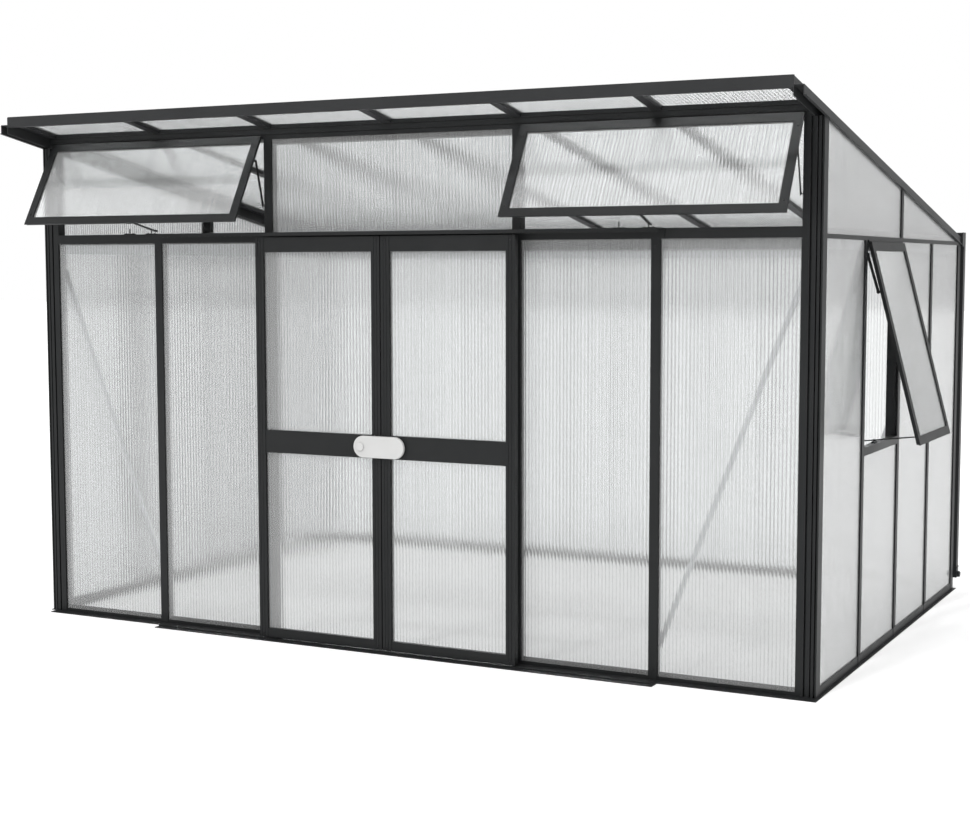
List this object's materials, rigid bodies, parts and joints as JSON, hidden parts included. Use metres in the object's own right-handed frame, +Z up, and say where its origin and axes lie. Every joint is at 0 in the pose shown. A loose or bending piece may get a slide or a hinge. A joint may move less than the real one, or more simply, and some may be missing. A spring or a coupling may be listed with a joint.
{
  "type": "polycarbonate greenhouse",
  "caption": "Walk-in greenhouse with a single-slope overhanging roof, an anthracite aluminium frame, ribbed translucent sheets, twin sliding doors, hinged front vents and a side window.",
  "frame": {"origin": "on the ground at the underside of the front sill, under the middle of the doorway, in the plane of the front wall's outer face", "axes": "+X along the front wall to the right seen from outside, +Y back into the greenhouse, +Z up"},
  "size_m": [4.1185, 2.923, 2.3969],
  "materials": {
    "frame_powder_coat": "satin anthracite powder coat",
    "roof_powder_coat": "satin anthracite powder coat",
    "polycarbonate_sheet": "translucent ribbed twin-wall sheet",
    "bare_aluminium": "mill finish",
    "latch_plastic": "light grey, fine grain"
  },
  "bodies": {
    "root": {"front_sill": "frame_powder_coat", "back_sill": "frame_powder_coat", "side_sills": "frame_powder_coat", "front_corner_posts": "frame_powder_coat", "back_corner_posts": "frame_powder_coat", "front_bars": "frame_powder_coat", "door_jambs": "frame_powder_coat", "clerestory_bars": "frame_powder_coat", "back_bars": "frame_powder_coat", "left_bars": "frame_powder_coat", "right_bars": "frame_powder_coat", "front_rail": "frame_powder_coat", "head_beam": "frame_powder_coat", "side_rails": "frame_powder_coat", "back_beam": "frame_powder_coat", "rafters": "roof_powder_coat", "verges": "roof_powder_coat", "fascia": "roof_powder_coat", "gutter": "roof_powder_coat", "downpipe": "roof_powder_coat", "front_panels": "polycarbonate_sheet", "back_panels": "polycarbonate_sheet", "left_panels": "polycarbonate_sheet", "right_panels": "polycarbonate_sheet", "roof_panels": "polycarbonate_sheet", "braces": "bare_aluminium", "vent_rails": "frame_powder_coat", "vent_stiles": "frame_powder_coat", "vent_panels": "polycarbonate_sheet", "vent_stays": "frame_powder_coat", "window_rails": "frame_powder_coat", "window_stiles": "frame_powder_coat", "window_panel": "polycarbonate_sheet", "window_sill": "frame_powder_coat", "window_stay": "frame_powder_coat", "upper_door_track": "frame_powder_coat", "lower_door_track": "frame_powder_coat"},
    "left_door": {"left_door_stiles": "frame_powder_coat", "left_door_rails": "frame_powder_coat", "left_door_panels": "polycarbonate_sheet"},
    "right_door": {"right_door_stiles": "frame_powder_coat", "right_door_rails": "frame_powder_coat", "right_door_panels": "polycarbonate_sheet"},
    "latch": {"latch_plate": "latch_plastic", "latch_knob": "latch_plastic"}
  },
  "joints": [
    {"name": "left_door_slide", "type": "slide", "parent": "root", "child": "left_door", "axis": [-1, 0, 0], "range_m": [0, 0.56]},
    {"name": "right_door_slide", "type": "slide", "parent": "root", "child": "right_door", "axis": [1, 0, 0], "range_m": [0, 0.56]},
    {"name": "latch_turn", "type": "hinge", "parent": "left_door", "child": "latch", "pos_m": [-0.096, -0.079, 0.911], "axis": [0, -1, 0], "range_deg": [0, 90]}
  ]
}
